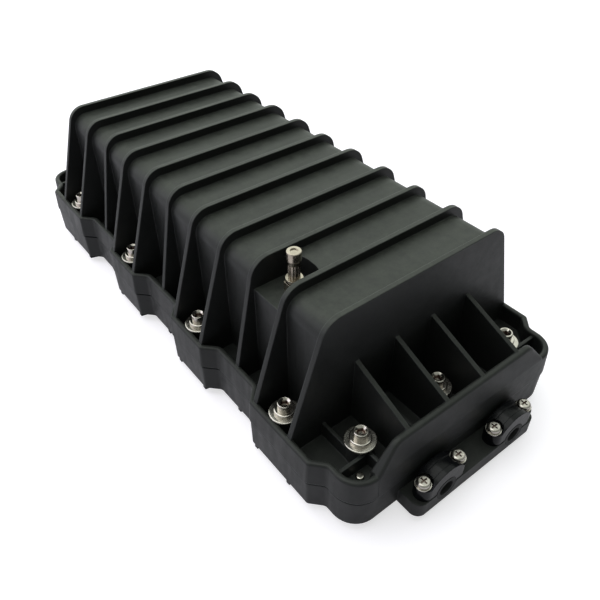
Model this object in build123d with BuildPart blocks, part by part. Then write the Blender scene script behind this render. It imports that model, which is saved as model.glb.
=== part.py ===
from build123d import *
import os

# Heights above the floor
parting_height = 31.0
base_skin_height = 7.0
foot_step_height = 3.2
rest_height = 0.0

# Gap between the two shells
parting_gap = 1.8
seat_gap = 0.3
running_gap = 0.05

# Ribs along the length
open_bay = 35.29
bolted_bay = 37.25
rib_thickness = 3.8
rib_rise = 105.0
rib_corner_half_width = 77.8
rib_corner_radius = 15.5
rib_foot_inset = 3.4
web_foot_lap = 0.5

# Domed cover
dome_rise = 98.3
dome_half_width = 78.5
dome_wall = 3.5
shoulder_radius = 12.0

# Plan of the skirt
block_half_width = 108.6
recess_half_width = 99.4
recess_half_length = 21.87
recess_ramp = 9.63
block_end = 202.4
lobe_ramp = 9.1
lobe_half_width = 100.2
skirt_half_length = 237.5
lobe_radius = 19.0
block_corner_radius = 4.0
rim_draft = 1.0
base_inset = 0.7
base_draft = 0.3

# Rim and pocket of the cover
rim_rise = 20.3
rim_wall = 5.5
rim_round = 1.9
pocket_floor_rise = 6.0
boss_radius = 9.6
boss_stand = 0.2

# Raised wall at each end
end_wall_rise = 39.0
end_wall_top_half_width = 64.0
end_wall_foot_half_width = 80.0
end_wall_lean = 3.7
end_wall_thickness = 5.3
end_wall_proud = 0.15
end_wall_round = 2.2
end_wall_corner_radius = 9.0
gusset_thickness = 3.4
gusset_rise = 59.0
gusset_inner_y = 17.0
gusset_outer_y = 52.0
low_web_thickness = 2.4
low_web_rise = 17.5

# Cover bolts
bolt_shank_radius = 3.0
bolt_head_radius = 5.0
bolt_head_height = 6.0
bolt_key_flat = 5.0
bolt_key_depth = 3.4
bolt_head_chamfer = 0.4
bolt_mouth_radius = 3.9
bolt_mouth_depth = 1.2
bolt_clearance_radius = 3.3
bolt_collar_radius = 7.4
bolt_collar_height = 2.65
bolt_washer_radius = 10.8
bolt_washer_height = 1.5
bolt_washer_round = 0.7
side_bolt_y = 94.2
corner_bolt_x = 208.8
corner_bolt_y = 70.3
end_bolt_x = 207.8
insert_radius = 4.5
insert_length = 12.0
bolt_tip_margin = 1.0
pad_radius = 8.0

# Small screws in the corner lobes
lobe_screw_x = 222.0
lobe_screw_y = 81.5
lobe_screw_head_radius = 2.9
lobe_screw_head_height = 2.0
lobe_screw_shank_radius = 1.5
lobe_screw_length = 4.0

# Base shell
cavity_half_length = 176.0
cavity_half_width = 74.0
cavity_corner_radius = 8.0
base_floor = 4.5
base_outer_wall = 4.2
base_cavity_wall = 3.5
base_top_flange = 4.0
base_bottom_chamfer = 0.6
foot_rib_thickness = 3.2
foot_half_width = 92.0
foot_end_inset = 1.6
foot_rail_y = 60.0
core_boss_radius = 8.5
post_radius = 5.0
post_height = 5.0

# Seal between the shells
groove_half_length = 190.0
groove_half_width = 81.6
groove_corner_radius = 14.0
groove_width = 5.4
groove_depth = 2.5
gasket_width = 5.0

# Cable ports and their clamping shelf
port_y = 34.2
port_height = 19.0
port_bore_radius = 8.0
port_seat_radius = 9.0
port_seat_start = 224.0
port_strip_half_width = 12.5
shelf_end = 254.5
shelf_half_width = 59.5
shelf_corner_radius = 7.0
shelf_bottom_height = 6.5
shelf_root = 225.0
grommet_bore_radius = 6.0
grommet_fit_gap = 0.1
port_seal_length = 14.0
port_seal_start = 196.0

# Clamping saddles
saddle_centre_x = 247.3
saddle_width = 13.8
saddle_half_length = 21.1
saddle_lug_height = 11.0
saddle_arch_radius = 18.8
saddle_channel_depth = 0.8
saddle_channel_width = 6.2
saddle_screw_pitch = 32.3
saddle_screw_shank_radius = 2.5
saddle_screw_hole_radius = 2.7
saddle_screw_head_radius = 4.9
saddle_screw_head_height = 3.2
saddle_screw_head_round = 1.8
saddle_screw_slot_width = 1.1
saddle_screw_slot_length = 5.2
saddle_screw_slot_depth = 1.6
saddle_screw_tip_height = 1.0
saddle_spot_radius = 6.2
saddle_washer_radius = 5.6
saddle_washer_height = 1.0

# Test valve on the shoulder
valve_y = 57.5
valve_platform_rise = 83.0
valve_pocket_back_y = 43.5
valve_pocket_corner_radius = 12.5
valve_stem_radius = 4.0
valve_hole_clearance = 0.2
valve_nut_flat = 12.0
valve_nut_height = 7.0
valve_ring_radius = 5.9
valve_ring_height = 2.2
valve_ring_gap = 0.8
valve_neck_radius = 3.2
valve_flute_count = 10
valve_flute_radius = 0.8
valve_taper_height = 3.5
valve_taper_step = 0.25
valve_tip_radius = 3.1
valve_tip_height = 5.0
valve_cap_radius = 4.95
valve_cap_height = 6.6
valve_cap_wall = 1.2
valve_cap_dimple_radius = 2.6
valve_cap_dimple_depth = 0.8
valve_top_rise = 114.0
valve_bore_radius = 1.6
valve_pin_radius = 0.9
valve_pin_length = 9.0
valve_pin_drop = 0.8
valve_collar_radius = 6.5
valve_collar_height = 2.0
valve_seal_height = 1.2

# Splice trays and their bracket
bracket_half_length = 155.0
bracket_half_width = 66.0
bracket_thickness = 2.0
bracket_slot_length = 150.0
bracket_slot_width = 26.0
bracket_slot_y = 34.0
ear_thickness = 2.0
ear_half_length = 9.0
ear_rise = 80.0
post_x = 110.0
post_y = 50.0
bracket_screw_head_radius = 3.8
bracket_screw_head_height = 2.6
bracket_screw_shank_radius = 1.9
bracket_screw_depth = 4.0
hinge_x = -140.0
hinge_radius = 4.0
hinge_pin_radius = 2.0
hinge_pin_head_radius = 3.2
hinge_pin_head_height = 1.5
tray_half_width = 60.0
tray_start = -133.0
tray_end = 140.0
tray_height = 12.0
tray_wall = 1.8
tray_floor = 1.6
tray_corner_radius = 24.0
tray_pitch = 22.0
tray_count = 3
first_tray_height = 44.0
tray_ear_gap = 1.0
stack_x_start = -106.0
stack_x_end = 113.0
stack_y = 33.0
stack_boss_radius = 4.0
stack_foot_radius = 3.0
race_half_length = 84.0
race_half_width = 30.0
race_wall = 1.6
race_height = 7.0
comb_length = 42.0
comb_width = 30.0
comb_height = 6.0
comb_slot_count = 6
comb_slot_width = 2.6
comb_slot_depth = 4.0
lid_thickness = 1.5
strength_clamp_length = 16.0
strength_clamp_width = 22.0
strength_clamp_height = 6.0
strength_clamp_x = 164.0
strength_screw_radius = 1.9
strength_screw_head_radius = 3.6
strength_screw_head_height = 2.4

# Heights that follow from the sizes above
base_top = parting_height - parting_gap / 2
cover_bottom = parting_height + parting_gap / 2
rim_top = parting_height + rim_rise
pocket_floor = parting_height + pocket_floor_rise
boss_top = rim_top + boss_stand
rib_top = parting_height + rib_rise
dome_top = parting_height + dome_rise
end_wall_top = parting_height + end_wall_rise
gusset_top = parting_height + gusset_rise
low_web_top = parting_height + low_web_rise
cavity_floor = base_skin_height + base_floor
pad_top = cover_bottom - seat_gap
groove_floor = base_top - groove_depth
gasket_top = cover_bottom - seat_gap
washer_top = boss_top + bolt_washer_height
collar_top = washer_top + bolt_collar_height
insert_bottom = pad_top - insert_length
bolt_tip = insert_bottom + bolt_tip_margin
shelf_top = port_height
platform = parting_height + valve_platform_rise
bracket_bottom = cavity_floor + post_height
bracket_top = bracket_bottom + bracket_thickness

# Positions along the length that follow from the rib spacing
rib_second = open_bay + bolted_bay
rib_third = rib_second + open_bay
rib_fourth = rib_third + open_bay
rib_end = rib_fourth + bolted_bay
recess_rib_x = [-rib_third, 0.0, rib_third]
block_rib_x = [
    sign * x for x in (open_bay, rib_second, rib_fourth, rib_end) for sign in (-1, 1)
]
all_rib_x = recess_rib_x + block_rib_x
dome_half_length = rib_end + rib_thickness / 2
bolt_bay_inner_x = (open_bay + rib_second) / 2
bolt_bay_outer_x = (rib_fourth + rib_end) / 2
valve_x = (rib_third + rib_fourth) / 2
pocket_half_length = (open_bay - rib_thickness) / 2
rib_foot_block = block_half_width - rib_foot_inset
rib_foot_recess = recess_half_width - rib_foot_inset
foot_end_block = block_half_width - foot_end_inset
foot_end_recess = recess_half_width - foot_end_inset
end_wall_inner = skirt_half_length - end_wall_lean - end_wall_thickness

side_bolt_points = [
    (sign_x * x, sign_y * side_bolt_y)
    for x in (bolt_bay_inner_x, bolt_bay_outer_x)
    for sign_x in (-1, 1)
    for sign_y in (-1, 1)
]
corner_bolt_points = [
    (sign_x * corner_bolt_x, sign_y * corner_bolt_y) for sign_x in (-1, 1) for sign_y in (-1, 1)
]
end_bolt_points = [(-end_bolt_x, 0.0), (end_bolt_x, 0.0)]
bolt_points = side_bolt_points + corner_bolt_points + end_bolt_points
lobe_screw_points = [
    (sign_x * lobe_screw_x, sign_y * lobe_screw_y) for sign_x in (-1, 1) for sign_y in (-1, 1)
]
saddle_points = [
    (sign_x * saddle_centre_x, sign_y * port_y) for sign_x in (-1, 1) for sign_y in (-1, 1)
]
saddle_screw_points = [
    (x, y + side * saddle_screw_pitch / 2) for x, y in saddle_points for side in (-1, 1)
]
post_points = [(sign_x * post_x, sign_y * post_y) for sign_x in (-1, 1) for sign_y in (-1, 1)]
stack_points = [(x, sign * stack_y) for x in (stack_x_start, stack_x_end) for sign in (-1, 1)]
strength_points = [
    (sign_x * strength_clamp_x, sign_y * port_y) for sign_x in (-1, 1) for sign_y in (-1, 1)
]
tray_heights = [first_tray_height + step * tray_pitch for step in range(tray_count)]

# Quarter of the skirt plan, from the middle to the end
skirt_quarter_points = [
    (0, 0),
    (0, recess_half_width),
    (recess_half_length, recess_half_width),
    (recess_half_length + recess_ramp, block_half_width),
    (rib_third - recess_half_length - recess_ramp, block_half_width),
    (rib_third - recess_half_length, recess_half_width),
    (rib_third + recess_half_length, recess_half_width),
    (rib_third + recess_half_length + recess_ramp, block_half_width),
    (block_end, block_half_width),
    (block_end + lobe_ramp, lobe_half_width),
    (skirt_half_length, lobe_half_width),
    (skirt_half_length, 0),
]

with BuildSketch() as skirt_outline:
    with BuildLine():
        Polyline(*skirt_quarter_points, close=True)
    make_face()
    inner_corners = skirt_outline.vertices().filter_by(lambda v: v.X > rim_wall and v.Y > rim_wall)
    inner_corners = inner_corners.sort_by_distance((skirt_half_length, lobe_half_width))
    fillet(inner_corners[1:], block_corner_radius)
    lobe_corner = skirt_outline.vertices().sort_by_distance((skirt_half_length, lobe_half_width))
    fillet(lobe_corner[0], lobe_radius)
    mirror(about=Plane.YZ)
    mirror(about=Plane.XZ)

with BuildSketch() as rim_inner_outline:
    add(skirt_outline.sketch)
    offset(amount=-rim_wall, mode=Mode.REPLACE)

# Hollow inside the dome, less the step under the valve platform
with BuildPart() as dome_void:
    with BuildSketch(Plane.YZ):
        with Locations((0, cover_bottom)):
            Rectangle(
                2 * (dome_half_width - dome_wall),
                dome_top - dome_wall - cover_bottom,
                align=(Align.CENTER, Align.MIN),
            )
    extrude(amount=dome_half_length - dome_wall, both=True)
    top_edges = dome_void.faces().sort_by(Axis.Z)[-1].edges().filter_by(Axis.X)
    fillet(top_edges, shoulder_radius - dome_wall)
    with BuildSketch(Plane.XY.offset(platform - dome_wall)):
        with Locations((valve_x, -valve_pocket_back_y + dome_wall)):
            Rectangle(
                2 * (pocket_half_length + dome_wall),
                dome_half_width,
                align=(Align.CENTER, Align.MAX),
            )
    extrude(amount=dome_top - platform, mode=Mode.SUBTRACT)

# Raised wall across the end, leaning inwards
with BuildPart() as end_wall:
    with BuildSketch(Plane.XZ):
        with BuildLine():
            Polyline(
                (end_wall_inner, cover_bottom),
                (skirt_half_length + end_wall_proud, cover_bottom),
                (skirt_half_length - rim_draft + end_wall_proud, rim_top),
                (skirt_half_length - end_wall_lean, end_wall_top),
                (end_wall_inner, end_wall_top),
                close=True,
            )
        make_face()
    extrude(amount=end_wall_foot_half_width, both=True)
    with BuildSketch(Plane.YZ) as end_wall_front:
        with BuildLine():
            Polyline(
                (-end_wall_foot_half_width, cover_bottom),
                (-end_wall_foot_half_width, rim_top),
                (-end_wall_top_half_width, end_wall_top),
                (end_wall_top_half_width, end_wall_top),
                (end_wall_foot_half_width, rim_top),
                (end_wall_foot_half_width, cover_bottom),
                close=True,
            )
        make_face()
        fillet(end_wall_front.vertices().group_by(Axis.Y)[-1], end_wall_corner_radius)
    extrude(amount=shelf_end, mode=Mode.INTERSECT)
    fillet(end_wall.faces().sort_by(Axis.Z)[-1].edges().filter_by(Axis.Y), end_wall_round)

with BuildPart() as cover_shell:
    # Skirt plate and rim
    with BuildSketch(Plane.XY.offset(cover_bottom)):
        add(skirt_outline.sketch)
    with BuildSketch(Plane.XY.offset(rim_top)):
        add(skirt_outline.sketch)
        offset(amount=-rim_draft, mode=Mode.REPLACE)
    loft(ruled=True)
    with BuildSketch(Plane.XY.offset(pocket_floor)):
        add(rim_inner_outline.sketch)
    extrude(amount=rim_top - pocket_floor, mode=Mode.SUBTRACT)
    fillet(cover_shell.faces().sort_by(Axis.Z)[-1].edges(), rim_round)
    # Dome
    with BuildSketch(Plane.YZ) as dome_section:
        with Locations((0, cover_bottom)):
            Rectangle(2 * dome_half_width, dome_top - cover_bottom, align=(Align.CENTER, Align.MIN))
        fillet(dome_section.vertices().group_by(Axis.Y)[-1], shoulder_radius)
    extrude(amount=dome_half_length, both=True)
    # Pocket with the valve platform
    with BuildSketch(Plane.XY.offset(platform)) as valve_pocket:
        with Locations((valve_x, -valve_pocket_back_y)):
            Rectangle(2 * pocket_half_length, dome_half_width, align=(Align.CENTER, Align.MAX))
        fillet(valve_pocket.vertices().group_by(Axis.Y)[-1], valve_pocket_corner_radius)
    extrude(amount=dome_top - platform, mode=Mode.SUBTRACT)
    # Ribs that end on the wide blocks of the rim
    with BuildSketch(*[Plane.YZ.offset(x) for x in block_rib_x]) as block_ribs:
        with BuildLine():
            Polyline(
                (-rib_foot_block, cover_bottom),
                (-rib_foot_block, rim_top),
                (-rib_corner_half_width, rib_top),
                (rib_corner_half_width, rib_top),
                (rib_foot_block, rim_top),
                (rib_foot_block, cover_bottom),
                close=True,
            )
        make_face()
        fillet(block_ribs.vertices().group_by(Axis.Y)[-1], rib_corner_radius)
    extrude(amount=rib_thickness / 2, both=True)
    # Ribs that end in the recesses of the rim
    with BuildSketch(*[Plane.YZ.offset(x) for x in recess_rib_x]) as recess_ribs:
        with BuildLine():
            Polyline(
                (-rib_foot_recess, cover_bottom),
                (-rib_foot_recess, rim_top),
                (-rib_corner_half_width, rib_top),
                (rib_corner_half_width, rib_top),
                (rib_foot_recess, rim_top),
                (rib_foot_recess, cover_bottom),
                close=True,
            )
        make_face()
        fillet(recess_ribs.vertices().group_by(Axis.Y)[-1], rib_corner_radius)
    extrude(amount=rib_thickness / 2, both=True)
    # Raised end walls and the gussets behind them
    add(end_wall.part)
    add(end_wall.part.mirror(Plane.YZ))
    gusset_y = (-gusset_outer_y, -gusset_inner_y, gusset_inner_y, gusset_outer_y)
    with BuildSketch(*[Plane.XZ.offset(y) for y in gusset_y]):
        for side in (-1, 1):
            with BuildLine():
                Polyline(
                    (side * dome_half_length, pocket_floor),
                    (side * dome_half_length, gusset_top),
                    (side * (end_wall_inner + end_wall_round), end_wall_top),
                    (side * (end_wall_inner + end_wall_round), pocket_floor),
                    close=True,
                )
            make_face()
    extrude(amount=gusset_thickness / 2, both=True)
    # Low webs on the pocket floor
    with BuildSketch(Plane.XY.offset(pocket_floor)):
        for side_x in (-1, 1):
            for side_y in (-1, 1):
                with Locations((side_x * dome_half_length, side_y * (corner_bolt_y + pad_radius))):
                    Rectangle(
                        corner_bolt_x - dome_half_length,
                        low_web_thickness,
                        align=(Align.MIN if side_x > 0 else Align.MAX, Align.CENTER),
                    )
                with Locations((side_x * corner_bolt_x, side_y * corner_bolt_y)):
                    Rectangle(
                        end_wall_inner + end_wall_round - corner_bolt_x,
                        low_web_thickness,
                        align=(Align.MIN if side_x > 0 else Align.MAX, Align.CENTER),
                    )
                with Locations((side_x * (corner_bolt_x + pad_radius), side_y * corner_bolt_y)):
                    Rectangle(
                        low_web_thickness,
                        lobe_half_width - rim_wall - corner_bolt_y + web_foot_lap,
                        align=(Align.CENTER, Align.MIN if side_y > 0 else Align.MAX),
                    )
                with Locations((side_x * dome_half_length, side_y * port_y)):
                    Rectangle(
                        end_wall_inner + end_wall_round - dome_half_length,
                        low_web_thickness,
                        align=(Align.MIN if side_x > 0 else Align.MAX, Align.CENTER),
                    )
    extrude(amount=low_web_top - pocket_floor)
    # Bolt bosses
    with BuildSketch(Plane.XY.offset(cover_bottom)):
        with Locations(*bolt_points):
            Circle(boss_radius)
    extrude(amount=boss_top - cover_bottom)
    # Hollow, bolt holes, screw holes and valve hole
    add(dome_void.part, mode=Mode.SUBTRACT)
    with Locations(*[(x, y, boss_top) for x, y in bolt_points]):
        Hole(bolt_clearance_radius, boss_top - cover_bottom)
    with Locations(*[(x, y, pocket_floor) for x, y in lobe_screw_points]):
        Hole(lobe_screw_shank_radius + running_gap, lobe_screw_length)
    with Locations((valve_x, -valve_y, platform)):
        Hole(valve_stem_radius + valve_hole_clearance, dome_wall)
cover_shell.part.label = "cover_shell"

with BuildPart() as base_shell:
    # Outer tub, set back a little from the cover, with a chamfered lower edge
    with BuildSketch(Plane.XY.offset(base_top)):
        add(skirt_outline.sketch)
        offset(amount=-base_inset, mode=Mode.REPLACE)
    with BuildSketch(Plane.XY.offset(base_skin_height)):
        add(skirt_outline.sketch)
        offset(amount=-base_inset - base_draft, mode=Mode.REPLACE)
    loft(ruled=True)
    chamfer(base_shell.faces().sort_by(Axis.Z)[0].edges(), base_bottom_chamfer)
    # Shelf for the cable clamps
    with BuildSketch(Plane.XY.offset(shelf_bottom_height)):
        for side in (-1, 1):
            with Locations((side * (shelf_root + shelf_end) / 2, 0)):
                RectangleRounded(shelf_end - shelf_root, 2 * shelf_half_width, shelf_corner_radius)
    extrude(amount=shelf_top - shelf_bottom_height)
    # Splice cavity
    with BuildSketch(Plane.XY.offset(cavity_floor)):
        RectangleRounded(2 * cavity_half_length, 2 * cavity_half_width, cavity_corner_radius)
    extrude(amount=base_top - cavity_floor, mode=Mode.SUBTRACT)
    # Coring of the thick flange from below
    with BuildSketch(Plane.XY.offset(base_skin_height)):
        add(skirt_outline.sketch)
        offset(amount=-base_outer_wall, mode=Mode.REPLACE)
        RectangleRounded(
            2 * (cavity_half_length + base_cavity_wall),
            2 * (cavity_half_width + base_cavity_wall),
            cavity_corner_radius + base_cavity_wall,
            mode=Mode.SUBTRACT,
        )
        with Locations(*bolt_points):
            Circle(core_boss_radius, mode=Mode.SUBTRACT)
        with Locations(*[(x, 0) for x in all_rib_x]):
            Rectangle(foot_rib_thickness, 2 * block_half_width, mode=Mode.SUBTRACT)
        with Locations((0, -port_y), (0, port_y)):
            Rectangle(2 * shelf_end, 2 * port_strip_half_width, mode=Mode.SUBTRACT)
        with Locations((-shelf_root, 0), (shelf_root, 0)):
            Rectangle(low_web_thickness, 2 * block_half_width, mode=Mode.SUBTRACT)
    extrude(amount=base_top - base_top_flange - base_skin_height, mode=Mode.SUBTRACT)
    # Feet: a rib under each cover rib, rising at its ends, and two rails
    for rib_x, foot_end in ((block_rib_x, foot_end_block), (recess_rib_x, foot_end_recess)):
        with BuildSketch(*[Plane.YZ.offset(x) for x in rib_x]):
            with BuildLine():
                Polyline(
                    (-foot_end, base_skin_height),
                    (-foot_end, foot_step_height),
                    (-foot_half_width, rest_height),
                    (foot_half_width, rest_height),
                    (foot_end, foot_step_height),
                    (foot_end, base_skin_height),
                    close=True,
                )
            make_face()
        extrude(amount=foot_rib_thickness / 2, both=True)
    with BuildSketch(Plane.XY):
        with Locations((0, -foot_rail_y), (0, foot_rail_y)):
            Rectangle(2 * rib_end, foot_rib_thickness)
    extrude(amount=base_skin_height)
    # Pads under the cover, bracket posts and screw bosses
    with BuildSketch(Plane.XY.offset(base_top)):
        with Locations(*bolt_points):
            Circle(pad_radius)
    extrude(amount=pad_top - base_top)
    with BuildSketch(Plane.XY.offset(cavity_floor)):
        with Locations(*post_points):
            Circle(post_radius)
    extrude(amount=post_height)
    # Seal groove
    with BuildSketch(Plane.XY.offset(groove_floor)):
        RectangleRounded(
            2 * groove_half_length + groove_width,
            2 * groove_half_width + groove_width,
            groove_corner_radius + groove_width / 2,
        )
        RectangleRounded(
            2 * groove_half_length - groove_width,
            2 * groove_half_width - groove_width,
            groove_corner_radius - groove_width / 2,
            mode=Mode.SUBTRACT,
        )
    extrude(amount=groove_depth, mode=Mode.SUBTRACT)
    # Cable ports
    with BuildSketch(Plane.YZ):
        with Locations((-port_y, port_height), (port_y, port_height)):
            Circle(port_bore_radius)
    extrude(amount=shelf_end, both=True, mode=Mode.SUBTRACT)
    with BuildSketch(Plane.YZ.offset(port_seat_start), Plane.YZ.offset(-shelf_end)):
        with Locations((-port_y, port_height), (port_y, port_height)):
            Circle(port_seat_radius)
    extrude(amount=shelf_end - port_seat_start, mode=Mode.SUBTRACT)
    # Holes for inserts, clamp screws, bracket screws and strength clamps
    with Locations(*[(x, y, pad_top) for x, y in bolt_points]):
        Hole(insert_radius, insert_length)
    with Locations(*[(x, y, shelf_top) for x, y in saddle_screw_points]):
        Hole(saddle_screw_hole_radius, shelf_top - shelf_bottom_height)
    with Locations(*[(x, y, bracket_bottom) for x, y in post_points]):
        Hole(bracket_screw_shank_radius + running_gap, bracket_screw_depth)
base_shell.part.label = "base_shell"

with BuildPart() as seal_gasket:
    with BuildSketch(Plane.XY.offset(groove_floor)):
        RectangleRounded(
            2 * groove_half_length + gasket_width,
            2 * groove_half_width + gasket_width,
            groove_corner_radius + gasket_width / 2,
        )
        RectangleRounded(
            2 * groove_half_length - gasket_width,
            2 * groove_half_width - gasket_width,
            groove_corner_radius - gasket_width / 2,
            mode=Mode.SUBTRACT,
        )
    extrude(amount=gasket_top - groove_floor)
seal_gasket.part.label = "seal_gasket"

with BuildPart() as threaded_inserts:
    with BuildSketch(Plane.XY.offset(insert_bottom)):
        with Locations(*bolt_points):
            Circle(insert_radius)
            Circle(bolt_shank_radius + running_gap, mode=Mode.SUBTRACT)
    extrude(amount=insert_length)
threaded_inserts.part.label = "threaded_inserts"

with BuildPart() as cover_bolts:
    with BuildSketch(Plane.XY.offset(bolt_tip)):
        with Locations(*bolt_points):
            Circle(bolt_shank_radius)
    extrude(amount=collar_top - bolt_tip)
    with BuildSketch(Plane.XY.offset(collar_top)):
        with Locations(*bolt_points):
            Circle(bolt_head_radius)
    extrude(amount=bolt_head_height)
    head_rims = cover_bolts.faces().group_by(Axis.Z)[-1].edges()
    chamfer(head_rims, bolt_head_chamfer)
    with BuildSketch(Plane.XY.offset(collar_top + bolt_head_height)):
        with Locations(*bolt_points):
            RegularPolygon(bolt_key_flat / 2, 6, major_radius=False)
    extrude(amount=-bolt_key_depth, mode=Mode.SUBTRACT)
    with Locations((0, 0, collar_top + bolt_head_height)):
        with Locations(*bolt_points):
            Cone(
                bolt_key_flat / 2,
                bolt_mouth_radius,
                bolt_mouth_depth,
                align=(Align.CENTER, Align.CENTER, Align.MAX),
                mode=Mode.SUBTRACT,
            )
cover_bolts.part.label = "cover_bolts"

with BuildPart() as bolt_collars:
    with BuildSketch(Plane.XY.offset(washer_top)):
        with Locations(*bolt_points):
            Circle(bolt_collar_radius)
            Circle(bolt_clearance_radius, mode=Mode.SUBTRACT)
    extrude(amount=bolt_collar_height)
    outer_rims = bolt_collars.faces().group_by(Axis.Z)[-1].edges().filter_by(
        lambda edge: edge.radius > bolt_head_radius
    )
    fillet(outer_rims, bolt_collar_height / 3)
bolt_collars.part.label = "bolt_collars"

with BuildPart() as bolt_washers:
    with BuildSketch(Plane.XY.offset(boss_top)):
        with Locations(*bolt_points):
            Circle(bolt_washer_radius)
            Circle(bolt_clearance_radius, mode=Mode.SUBTRACT)
    extrude(amount=bolt_washer_height)
    washer_rims = bolt_washers.faces().group_by(Axis.Z)[-1].edges().filter_by(
        lambda edge: edge.radius > bolt_clearance_radius
    )
    fillet(washer_rims, bolt_washer_round)
bolt_washers.part.label = "bolt_washers"

with BuildPart() as lobe_screws:
    with BuildSketch(Plane.XY.offset(pocket_floor)):
        with Locations(*lobe_screw_points):
            Circle(lobe_screw_head_radius)
    extrude(amount=lobe_screw_head_height)
    fillet(lobe_screws.faces().group_by(Axis.Z)[-1].edges(), lobe_screw_head_height / 2)
    with BuildSketch(Plane.XY.offset(pocket_floor)):
        with Locations(*lobe_screw_points):
            Circle(lobe_screw_shank_radius)
    extrude(amount=-lobe_screw_length + running_gap)
lobe_screws.part.label = "lobe_screws"

with BuildPart() as cable_grommets:
    with BuildSketch(Plane.YZ.offset(port_seat_start), Plane.YZ.offset(grommet_fit_gap - shelf_end)):
        with Locations((-port_y, port_height), (port_y, port_height)):
            Circle(port_seat_radius - grommet_fit_gap)
            Circle(grommet_bore_radius, mode=Mode.SUBTRACT)
    extrude(amount=shelf_end - port_seat_start - grommet_fit_gap)
cable_grommets.part.label = "cable_grommets"

with BuildPart() as port_seals:
    with BuildSketch(
        Plane.YZ.offset(port_seal_start), Plane.YZ.offset(-port_seal_start - port_seal_length)
    ):
        with Locations((-port_y, port_height), (port_y, port_height)):
            Circle(port_bore_radius - running_gap)
            Circle(grommet_bore_radius + grommet_fit_gap, mode=Mode.SUBTRACT)
    extrude(amount=port_seal_length)
port_seals.part.label = "port_seals"

with BuildPart() as clamp_saddles:
    # Lugs and arch cut to one rounded plan
    with BuildSketch(Plane.XY.offset(shelf_top)):
        with Locations(*saddle_points):
            SlotOverall(2 * saddle_half_length, saddle_width, rotation=90)
    extrude(amount=saddle_arch_radius)
    with BuildSketch(Plane.YZ):
        with Locations((-port_y, port_height), (port_y, port_height)):
            Circle(saddle_arch_radius)
            Rectangle(2 * saddle_half_length, 2 * saddle_lug_height)
            Circle(port_seat_radius, mode=Mode.SUBTRACT)
    extrude(amount=shelf_end, both=True, mode=Mode.INTERSECT)
    # Shallow channel along the back of the arch
    with BuildSketch(
        Plane.YZ.offset(saddle_centre_x - saddle_channel_width / 2),
        Plane.YZ.offset(-saddle_centre_x - saddle_channel_width / 2),
    ):
        with Locations((-port_y, port_height), (port_y, port_height)):
            Circle(saddle_arch_radius)
            Circle(saddle_arch_radius - saddle_channel_depth, mode=Mode.SUBTRACT)
            Rectangle(2 * saddle_half_length, 2 * saddle_lug_height, mode=Mode.SUBTRACT)
    extrude(amount=saddle_channel_width, mode=Mode.SUBTRACT)
    # Screw seats and holes
    with BuildSketch(Plane.XY.offset(shelf_top + saddle_lug_height)):
        with Locations(*saddle_screw_points):
            Circle(saddle_spot_radius)
    extrude(amount=saddle_arch_radius, mode=Mode.SUBTRACT)
    with Locations(*[(x, y, shelf_top + saddle_lug_height) for x, y in saddle_screw_points]):
        Hole(saddle_screw_hole_radius, saddle_lug_height)
clamp_saddles.part.label = "clamp_saddles"

with BuildPart() as saddle_washers:
    with BuildSketch(Plane.XY.offset(shelf_top + saddle_lug_height)):
        with Locations(*saddle_screw_points):
            Circle(saddle_washer_radius)
            Circle(saddle_screw_hole_radius, mode=Mode.SUBTRACT)
    extrude(amount=saddle_washer_height)
saddle_washers.part.label = "saddle_washers"

saddle_head_bottom = shelf_top + saddle_lug_height + saddle_washer_height

with BuildPart() as saddle_screws:
    with BuildSketch(Plane.XY.offset(saddle_head_bottom)):
        with Locations(*saddle_screw_points):
            Circle(saddle_screw_head_radius)
    extrude(amount=saddle_screw_head_height)
    fillet(saddle_screws.faces().group_by(Axis.Z)[-1].edges(), saddle_screw_head_round)
    with BuildSketch(Plane.XY.offset(saddle_head_bottom + saddle_screw_head_height)):
        with Locations(*saddle_screw_points):
            Rectangle(saddle_screw_slot_length, saddle_screw_slot_width)
            Rectangle(saddle_screw_slot_width, saddle_screw_slot_length)
    extrude(amount=-saddle_screw_slot_depth, mode=Mode.SUBTRACT)
    with BuildSketch(Plane.XY.offset(saddle_screw_tip_height)):
        with Locations(*saddle_screw_points):
            Circle(saddle_screw_shank_radius)
    extrude(amount=saddle_head_bottom - saddle_screw_tip_height)
saddle_screws.part.label = "saddle_screws"

# Test valve: body, nut, seal, core pin, cap and cap seal
valve_nut_top = platform + valve_nut_height
valve_ring_bottom = valve_nut_top + valve_ring_gap
valve_ring_top = valve_ring_bottom + valve_ring_height
valve_cap_bottom = parting_height + valve_top_rise - valve_cap_height
valve_taper_bottom = valve_cap_bottom - seat_gap - valve_taper_height
valve_collar_top = platform - dome_wall - valve_seal_height
valve_bore_bottom = valve_collar_top - valve_collar_height
valve_tip_top = valve_cap_bottom + valve_tip_height - seat_gap

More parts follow.
